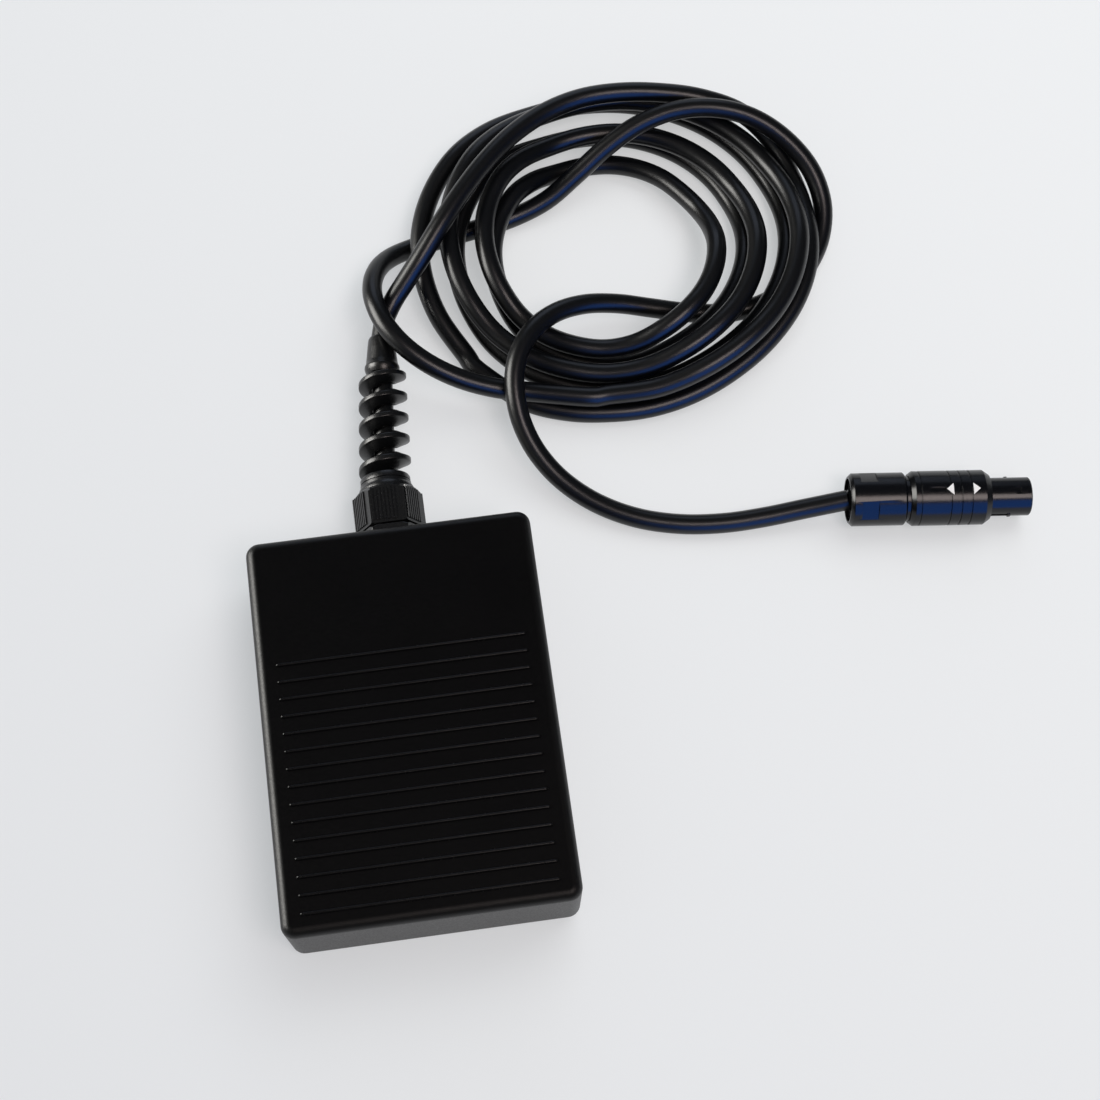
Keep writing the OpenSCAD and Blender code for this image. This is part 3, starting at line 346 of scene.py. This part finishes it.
def add_tube(shape, line, radius, sides=20, skin=0):
    """Adds a closed tube along a line, all in mm, to a bmesh in metres."""
    side, rings = None, []
    for i, point in enumerate(line):
        ahead = (line[min(i + 1, len(line) - 1)] - line[max(i - 1, 0)]).normalized()
        side = (ahead.orthogonal() if side is None else side - ahead * side.dot(ahead)).normalized()
        up = ahead.cross(side)
        rings.append([shape.verts.new((point + radius * (cos(2 * pi * k / sides) * side
                                                         + sin(2 * pi * k / sides) * up)) * MM)
                      for k in range(sides)])
    for a, b in zip(rings, rings[1:]):
        for k in range(sides):
            shape.faces.new((a[k], a[(k + 1) % sides], b[(k + 1) % sides], b[k])).material_index = skin
    shape.faces.new(rings[0][::-1]).material_index = skin
    shape.faces.new(rings[-1]).material_index = skin


# %% Cord and its hidden ends
route = [p + LAY for p in smooth_line(TAIL + COIL + LEAD)]
route = [Vector((p.x, p.y, max(p.z, CORD_R))) for p in route]  # the curve never dips into the table
shape = bmesh.new()
add_tube(shape, route, CORD_R)
cord = piece("cord", shape, [pvc], "base", ["cord_tail", "cord_coil", "cord_lead"], sharp=60)

GLAND = Vector((0.6, 0, 11.5))  # the gland's axis runs along Y through this point
FOOT, LEAN = 68.0, radians(4.7)  # the guard's foot on that axis, and how far the guard leans from it
shape = bmesh.new()
add_tube(shape, [GLAND + Vector((0, y, 0)) for y in (29.5, 50, 66)]
         + [GLAND + Vector((u * sin(LEAN), FOOT + u * cos(LEAN), 0)) for u in (2, 20, 42.41)], CORD_R, 24)
piece("cord_in_gland_jacket", shape, [pvc], "base", ["cord_in_gland"], sharp=60)

# the plug lies level on the table, turned by 6.4 degrees, and the cord reaches 12 mm into it
PLUG = Matrix.Translation((0.121475, 0.048867, 0.0073)) @ Matrix.Rotation(radians(-6.4), 4, "Z")
shape = bmesh.new()
add_tube(shape, [Vector((u, 0, 0)) for u in (0, 6, 12)], CORD_R, 24)
shape.transform(PLUG)
piece("cord_end_in_plug", shape, [pvc], "base", ["plug_cord_end"], sharp=60)

# %% [markdown]
# ## Treadle cover
# The cover is the one big part: a box with a 2.6 mm radius round its top, open below, with lugs, pegs
# and fingers inside. The frame's own solid has all of these, so the piece starts as its welded copy.
# The square ribs are taken off the copy and their outlines closed, because the real ribs have round
# backs and are made in the next step.

# %% Treadle without ribs
TOP = 0.030  # the height of the cover's flat top, in metres
shape = welded("treadle")
bmesh.ops.delete(shape, geom=[v for v in shape.verts if v.co.z > TOP + 1e-5], context="VERTS")
rims = [e for e in shape.edges if e.is_boundary]
bmesh.ops.holes_fill(shape, edges=rims, sides=0)
bmesh.ops.dissolve_limit(shape, angle_limit=FLAT, verts=shape.verts, edges=shape.edges)
print("rib outline edges closed:", len(rims), "open edges left:", sum(e.is_boundary for e in shape.edges))
cover = piece("treadle_cover", shape, [abs_spark], "treadle", ["treadle"], bevel=0.2)

# %% [markdown]
# ## Grip ribs
# Fifteen ribs run across the treadle, each a bar with a round back and round ends that catches a thin
# line of light. They repeat, so Geometry Nodes make one rib, by drawing a small arch along a line whose
# width shrinks at both ends, and copy it to every place.

# %% A tree with named inputs
def new_tree(name, sizes):
    """A Geometry Nodes tree with these named number inputs, and the node that gives them."""
    tree = bpy.data.node_groups.new(name, "GeometryNodeTree")
    tree.interface.new_socket("Geometry", in_out="OUTPUT", socket_type="NodeSocketGeometry")
    for key, value in sizes.items():
        whole = isinstance(value, int)
        socket = tree.interface.new_socket(key, in_out="INPUT",
                                           socket_type="NodeSocketInt" if whole else "NodeSocketFloat")
        socket.default_value = value
    return tree, add(tree, "NodeGroupInput").outputs


def math(tree, operation, a, b=0.0):
    """The result of one arithmetic node."""
    return add(tree, "ShaderNodeMath", {"operation": operation}, _0=a, _1=b).outputs[0]


def grown(name, tree, sizes):
    """The plain mesh that a tree makes with these sizes, as a bmesh."""
    seed = bpy.data.objects.new(name, bpy.data.meshes.new(name))
    bpy.context.collection.objects.link(seed)
    run = seed.modifiers.new("grow", "NODES")
    run.node_group = tree
    for item in tree.interface.items_tree:
        if item.in_out == "INPUT" and item.name in sizes:
            run[item.identifier] = sizes[item.name]
    data = bpy.data.meshes.new_from_object(seed.evaluated_get(bpy.context.evaluated_depsgraph_get()))
    bpy.data.objects.remove(seed)
    shape = bmesh.new()
    shape.from_mesh(data)
    bpy.data.meshes.remove(data)
    bmesh.ops.remove_doubles(shape, verts=shape.verts, dist=1e-6)
    bmesh.ops.recalc_face_normals(shape, faces=shape.faces)
    return shape


# %% Grip ribs
ribs, size = new_tree("grip ribs", {"Count": 15, "Pitch": 0.00438, "Length": 0.0621, "Width": 0.00095,
                                    "Height": 0.0005, "First": 0.01686, "Top": TOP})
half = math(ribs, "MULTIPLY", size["Length"], 0.5)
line = add(ribs, "GeometryNodeCurvePrimitiveLine",
           Start=add(ribs, "ShaderNodeCombineXYZ", X=math(ribs, "MULTIPLY", half, -1.0)).outputs[0],
           End=add(ribs, "ShaderNodeCombineXYZ", X=half).outputs[0])
dense = add(ribs, "GeometryNodeResampleCurve", Curve=line.outputs[0], Count=157)
along = add(ribs, "ShaderNodeSeparateXYZ", Vector=add(ribs, "GeometryNodeInputPosition").outputs[0])
to_end = math(ribs, "SUBTRACT", half, math(ribs, "ABSOLUTE", along.outputs["X"]))
side = math(ribs, "MULTIPLY", size["Width"], 0.5)
share = math(ribs, "MINIMUM", math(ribs, "DIVIDE", to_end, side), 1.0)
# the half width follows a quarter circle over the last half width of the rib
missing = math(ribs, "POWER", math(ribs, "SUBTRACT", 1.0, share), 2.0)
swell = math(ribs, "SQRT", math(ribs, "SUBTRACT", 1.0, missing))
thick = add(ribs, "GeometryNodeSetCurveRadius", Curve=dense.outputs[0],
            Radius=math(ribs, "MAXIMUM", swell, 0.08))
arch = add(ribs, "GeometryNodeCurvePrimitiveCircle", {"mode": "RADIUS"}, Resolution=20, Radius=side)
squeezed = add(ribs, "GeometryNodeTransform", Geometry=arch.outputs[0],
               Scale=add(ribs, "ShaderNodeCombineXYZ", X=1.0, Y=math(ribs, "DIVIDE", size["Height"], side),
                         Z=1.0).outputs[0])
rib = add(ribs, "GeometryNodeCurveToMesh", Curve=thick.outputs[0], Profile_Curve=squeezed.outputs[0],
          Scale=add(ribs, "GeometryNodeInputRadius").outputs[0], Fill_Caps=True)
row = add(ribs, "GeometryNodeMeshLine", Count=size["Count"],
          Start_Location=add(ribs, "ShaderNodeCombineXYZ", Y=size["First"], Z=size["Top"]).outputs[0],
          Offset=add(ribs, "ShaderNodeCombineXYZ", Y=math(ribs, "MULTIPLY", size["Pitch"], -1.0)).outputs[0])
copies = add(ribs, "GeometryNodeInstanceOnPoints", Points=row.outputs[0], Instance=rib.outputs[0])
solid = add(ribs, "GeometryNodeSetMaterial", Material=abs_worn,
            Geometry=add(ribs, "GeometryNodeRealizeInstances", Geometry=copies.outputs[0]).outputs[0])
add(ribs, "NodeGroupOutput", Geometry=solid.outputs[0])
shape = grown("ribs", ribs, {"Count": 15})
print("rib faces:", len(shape.faces))
piece("grip_ribs", shape, [abs_worn], "treadle", (), sharp=60)

# %% [markdown]
# ## Spiral bend guard
# The guard keeps the cord from kinking at the gland. It is one nylon strip wound round the cord with a
# gap, so that it bends with it. Its shape follows a rule, so Geometry Nodes draw it: a helix, and a
# wedge-shaped section carried along it that always points outwards. The plain collar at its tip and the
# root ring at the nut are turned shapes, made by spinning an outline.

# %% Helix and its section
guard, size = new_tree("bend guard", {"Turns": 4.9, "Run": 0.029996, "Bore": 0.0032, "Edge": 0.00695,
                                      "Root width": 0.0052, "Edge width": 0.0014, "Start": 200.0,
                                      "Steps": 296, "From": 0.003189, "Tip size": 0.84})
steps = add(guard, "GeometryNodeMeshLine", Count=size["Steps"])
t = math(guard, "DIVIDE", add(guard, "GeometryNodeInputIndex").outputs[0],
         math(guard, "SUBTRACT", size["Steps"], 1.0))
turn = math(guard, "RADIANS", math(guard, "SUBTRACT", size["Start"],
                                   math(guard, "MULTIPLY", math(guard, "MULTIPLY", size["Turns"], 360.0), t)))
outward = add(guard, "ShaderNodeCombineXYZ", X=math(guard, "COSINE", turn), Z=math(guard, "SINE", turn))
axis = add(guard, "ShaderNodeCombineXYZ",
           Y=math(guard, "ADD", size["From"], math(guard, "MULTIPLY", size["Run"], t)))
out_bore = add(guard, "ShaderNodeVectorMath", {"operation": "SCALE"}, Vector=outward.outputs[0],
               Scale=size["Bore"])
spot = add(guard, "ShaderNodeVectorMath", {"operation": "ADD"}, _0=axis.outputs[0], _1=out_bore.outputs[0])
placed = add(guard, "GeometryNodeSetPosition", Geometry=steps.outputs[0], Position=spot.outputs[0])
helix = add(guard, "GeometryNodeMeshToCurve", Mesh=placed.outputs[0])
# each point's own direction away from the cord, so that the section never leans
here = add(guard, "ShaderNodeSeparateXYZ", Vector=add(guard, "GeometryNodeInputPosition").outputs[0])
away = add(guard, "ShaderNodeCombineXYZ", X=here.outputs["X"], Z=here.outputs["Z"])
outwards = add(guard, "ShaderNodeVectorMath", {"operation": "NORMALIZE"}, _0=away.outputs[0])
facing = add(guard, "GeometryNodeSetCurveNormal", {"mode": "FREE"}, Curve=helix.outputs[0],
             Normal=outwards.outputs[0])
height = math(guard, "SUBTRACT", size["Edge"], size["Bore"])
wedge = add(guard, "GeometryNodeCurvePrimitiveQuadrilateral", {"mode": "TRAPEZOID"}, Height=height,
            Bottom_Width=size["Root width"], Top_Width=size["Edge width"], Offset=0.0)
rounded = add(guard, "GeometryNodeFilletCurve", {"mode": "POLY"}, Curve=wedge.outputs[0], Radius=0.0004,
              Count=4, Limit_Radius=True)
middle = add(guard, "ShaderNodeCombineXYZ", X=math(guard, "MULTIPLY", height, 0.5))
stood = add(guard, "GeometryNodeTransform", Geometry=rounded.outputs[0], Rotation=(0, 0, radians(-90)),
            Translation=middle.outputs[0])
# the strip gets lower and narrower towards the tip
shrink = add(guard, "ShaderNodeMapRange", Value=add(guard, "GeometryNodeSplineParameter").outputs[0],
             To_Min=1.0, To_Max=size["Tip size"])
strip = add(guard, "GeometryNodeCurveToMesh", Curve=facing.outputs[0], Profile_Curve=stood.outputs[0],
            Scale=shrink.outputs["Result"], Fill_Caps=True)
solid = add(guard, "GeometryNodeSetMaterial", Material=nylon,
            Geometry=add(guard, "GeometryNodeRealizeInstances", Geometry=strip.outputs[0]).outputs[0])
add(guard, "NodeGroupOutput", Geometry=solid.outputs[0])
shape = grown("guard", guard, {"Turns": 4.9})
leaned = Matrix.Translation((GLAND.x * MM, FOOT * MM, GLAND.z * MM)) @ Matrix.Rotation(-LEAN, 4, "Z")
shape.transform(leaned)
low = Vector([min(v.co[i] for v in shape.verts) for i in range(3)])
high = Vector([max(v.co[i] for v in shape.verts) for i in range(3)])
print("strip from", [round(c / MM, 2) for c in low], "to", [round(c / MM, 2) for c in high])

# %% [markdown]
# ## The guard's collar and root ring
# A turned shape is an outline of radii and heights, spun round an axis. The collar leans with the
# strip, and the root ring sits straight on the nut.


# %% Spin an outline
def add_turned(shape, outline, place, sides=64):
    """Adds a closed ring to a bmesh: outline is (radius, height) in mm, and place puts it on the pedal."""
    around = [(cos(2 * pi * k / sides), sin(2 * pi * k / sides)) for k in range(sides)]
    rings = [[shape.verts.new(place @ Vector((r * x * MM, r * y * MM, h * MM))) for x, y in around]
             for r, h in outline]
    for a, b in zip(rings, rings[1:] + rings[:1]):
        for k in range(sides):
            shape.faces.new((a[k], a[(k + 1) % sides], b[(k + 1) % sides], b[k]))


to_rear = Matrix.Rotation(radians(-90), 4, "X")  # turns a shape's height from up to rearwards
collar = [(2.72, -1.5), (4, -1.5), (4.5, -0.7), (4.7, 0), (4.72, 0.4), (4.66, 0.85), (4.4, 1.15), (4.25, 2.2),
          (3.95, 5), (3.6, 8.3), (3.42, 8.9), (3.15, 9.3), (2.95, 9.42), (2.72, 9.425)]
root_ring = [(3.2, 0), (6.6, 0), (6.6, 1.1), (6.35, 1.5), (5.9, 1.6), (3.2, 1.6)]
add_turned(shape, collar, leaned @ Matrix.Translation((0, 0.032985, 0)) @ to_rear)
add_turned(shape, root_ring, Matrix.Translation((GLAND.x * MM, (FOOT + 0.02) * MM, GLAND.z * MM)) @ to_rear)
bmesh.ops.recalc_face_normals(shape, faces=shape.faces)
print("outline points: collar", len(collar), "root ring", len(root_ring))
piece("spiral_guard", shape, [nylon], "base", ["bend_guard"], sharp=40)

# %% [markdown]
# ## Return springs
# Two compression springs push the treadle up. Each is a helix drawn as a tube.

# %% Springs
TURNS, PER_TURN = 7, 24  # turns of each spring, and points on a turn
COIL_R, WIRE_R = 4.05, 0.45  # radius of a turn at the wire's middle, and of the wire
LOW_END, HIGH_END = 5.87, 27.13  # heights of the wire's ends
for side, name in ((-1, "left"), (1, "right")):
    helix = []
    for i in range(TURNS * PER_TURN + 1):
        a = 2 * pi * i / PER_TURN
        helix.append(Vector((23 * side + COIL_R * cos(a), -24 + COIL_R * sin(a),
                             LOW_END + (HIGH_END - LOW_END) * i / (TURNS * PER_TURN))))
    shape = bmesh.new()
    add_tube(shape, helix, WIRE_R, 10)
    spring = piece("return_spring_" + name, shape, [spring_steel], "base", ["spring_" + name],
                   sharp=60)
    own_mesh(spring)
print("spring turns:", TURNS)

# %% [markdown]
# ## Wires to the board
# Four thin wires run from the cord's end to the connector on the board, each in a PVC skin of its own
# colour. They are tubes too, on a gentle curve.

# %% Wires
shape = bmesh.new()
for i in range(4):
    x0, x1 = GLAND.x + 1.3 * (i - 1.5), 2.5 * (i - 1.5)  # places side by side in the cord and in the connector
    bends = [(x0, 29.5, 11.5), (x0, 28.7, 11.5), ((x0 + x1) / 2, 25.75, 13.3), (x1, 23, 13.5), (x1, 20.5, 13.5)]
    add_tube(shape, smooth_line(bends, 0.5), 0.6, 12, i)
print("wires:", len(wire_skins))
piece("board_wires", shape, wire_skins, "base", ["inner_wires"], sharp=60)

# %% [markdown]
# ## Gland, plug and the parts inside
# The other parts keep the shape of the frame's solids. Each becomes a welded copy with the small radius
# that its mould or tool leaves, so that its edges catch the light, in its own material.

# %% Carried-over shapes with real edges
KEEP = {  # node: (material, body, slot, bevel in mm)
    "base_shell": (abs_plain, "base", "base_plastic", 0.15),
    "rubber_feet": (rubber, "base", "foot_rubber", 0.2),
    "hinge_pins": (zinc, "base", "steel", 0.1),
    "pin_clips": (spring_steel, "base", "steel", 0.05),
    "travel_stops": (rubber, "base", "foot_rubber", 0.2),
    "circuit_board": (solder_mask, "base", "board", 0.05),
    "board_screws": (zinc, "base", "steel", 0.05),
    "sensor_body": (pbt_blue, "base", "sensor_plastic", 0.2),
    "sensor_arm": (pom_white, "sensor_arm", "arm_plastic", 0.1),
    "switch_body": (abs_plain, "base", "switch_plastic", 0.1),
    "switch_lever": (zinc, "switch_lever", "steel", 0.05),
    "switch_plunger": (pom_red, "switch_plunger", "plunger_plastic", 0.1),
    "wire_connector": (pbt_cream, "base", "connector_plastic", 0.1),
    "cord_clamp": (abs_plain, "base", "base_plastic", 0.2),
    "clamp_screws": (zinc, "base", "steel", 0.05),
    "gland_body": (nylon, "base", "gland_nylon", 0.18),
    "gland_washer": (rubber, "base", "seal_rubber", 0.05),
    "gland_locknut": (nylon, "base", "gland_nylon", 0.15),
    "gland_seal": (rubber, "base", "seal_rubber", 0.05),
    "gland_nut": (nylon, "base", "gland_nylon", 0.12),
    "plug_back_nut": (plug_black, "base", "plug_plastic", 0.15),
    "plug_collet": (abs_plain, "base", "switch_plastic", 0.08),
    "plug_core": (plug_black, "base", "plug_plastic", 0.08),
    "plug_sleeve": (plug_black, "plug_sleeve", "plug_plastic", 0.09),
    "plug_marks": (pad_ink, "plug_sleeve", "mark_white", 0.0),
    "plug_insert": (peek, "base", "insert_plastic", 0.08),
    "plug_contacts": (gold, "base", "contact_metal", 0.03),
}
for name, (material, body, slot, bevel) in KEEP.items():
    piece(name + "_part", welded(name), [material], body, [name], bevel=bevel)

# %% [markdown]
# ## Table and light
# The pedal lies on a plain white table in soft daylight. The table shows almost white to the camera and
# in reflections, by the Light Path node, and still takes a share of real light, so that the soft
# shadows stay. A window on the left gives the bright edges, a skylight behind carries the soft shadows,
# a blue sky low in front gives the cord and the plug their bluish sheen and is linked to them alone, and
# a softbox overhead draws the long highlights on them.

# %% Table
bpy.ops.mesh.primitive_plane_add(size=6)
table = bpy.context.object
table.name = "table"
paint, tree = new_material("white laminate table")
path = add(tree, "ShaderNodeLightPath").outputs
seen = math(tree, "MAXIMUM", path["Is Camera Ray"], math(tree, "MAXIMUM", path["Is Glossy Ray"],
                                                        path["Is Transmission Ray"]))
place = add(tree, "ShaderNodeTexCoord").outputs["Object"]
# painted light: the glow's colour is a dimmer grey at the left front and a brighter white at the right rear, as
# if more light fell there
across = add(tree, "ShaderNodeVectorMath", {"operation": "DOT_PRODUCT"}, _0=place, _1=(0.5, 0.87, 0.0))
painted_light_mask = add(tree, "ShaderNodeMapRange", Value=across.outputs["Value"], From_Min=-0.15, From_Max=0.3)
painted_light_tone = add(tree, "ShaderNodeMix", {"data_type": "RGBA"}, _0=painted_light_mask.outputs["Result"], _6=srgb("#E7E9EB"),
           _7=srgb("#F8FAFA"))
lit = add(tree, "ShaderNodeBsdfDiffuse", Color=srgb("#E2E6EA"))
glow = add(tree, "ShaderNodeEmission", Color=painted_light_tone.outputs[2], Strength=1.0)
mix = add(tree, "ShaderNodeMixShader", _0=math(tree, "MULTIPLY", seen, 0.5), _1=lit.outputs[0],
          _2=glow.outputs[0])
add(tree, "ShaderNodeOutputMaterial", Surface=mix.outputs[0])
table.data.materials.append(paint)
print("table ready")


# %% Lamps and world
def lamp(name, place, aim, size, power, colour):
    """A square soft lamp at place that faces aim."""
    data = bpy.data.lights.new(name, "AREA")
    data.size, data.energy, data.color = size, power, srgb(colour)[:3]
    lamp_object = bpy.data.objects.new(name, data)
    bpy.context.collection.objects.link(lamp_object)
    lamp_object.location = place
    lamp_object.rotation_euler = (Vector(aim) - Vector(place)).to_track_quat("-Z", "Y").to_euler()
    return lamp_object


CENTRE = (0.04, 0.05, 0.0)  # between the pedal, the coil and the plug
lamp("window", (-1.1, 0.35, 0.55), CENTRE, 0.9, 34, "#FFFDF8").visible_diffuse = False
lamp("skylight", (0.6, 0.6, 1.3), CENTRE, 1.2, 12, "#FFFEFA").visible_glossy = False
lamp("rear sky", (0.2, 1.3, 0.6), CENTRE, 0.8, 2, "#DCE8FF")
front_sky = lamp("front sky", (0.5, -1.0, 0.42), (0.15, 0.05, 0), 1.2, 14, "#4288FF")
front_sky.visible_diffuse = False
sheen = bpy.data.collections.new("cord and plug under the front sky")
for thing in bpy.data.objects:
    if thing.name == "cord" or thing.name.startswith("plug_") and thing.name.endswith("_part"):
        sheen.objects.link(thing)
front_sky.light_linking.receiver_collection = sheen
lamp("ceiling softbox", (0.34, -0.42, 1.25), (0.12, 0.05, 0), 0.5, 6.8, "#FFEFEA")
world = bpy.data.worlds.new("room")
bpy.context.scene.world = world
world.use_nodes = True
tree = world.node_tree
tree.nodes.clear()
path = add(tree, "ShaderNodeLightPath").outputs
level = add(tree, "ShaderNodeMapRange", Value=path["Is Glossy Ray"], To_Min=0.5, To_Max=0.12)
room = add(tree, "ShaderNodeBackground", Color=srgb("#BFC3C8"), Strength=level.outputs["Result"])
wall = add(tree, "ShaderNodeBackground", Color=srgb("#F0F1F0"), Strength=1.0)
mix = add(tree, "ShaderNodeMixShader", _0=path["Is Camera Ray"], _1=room.outputs[0], _2=wall.outputs[0])
add(tree, "ShaderNodeOutputWorld", Surface=mix.outputs[0])
bpy.context.scene.view_settings.view_transform = "Standard"
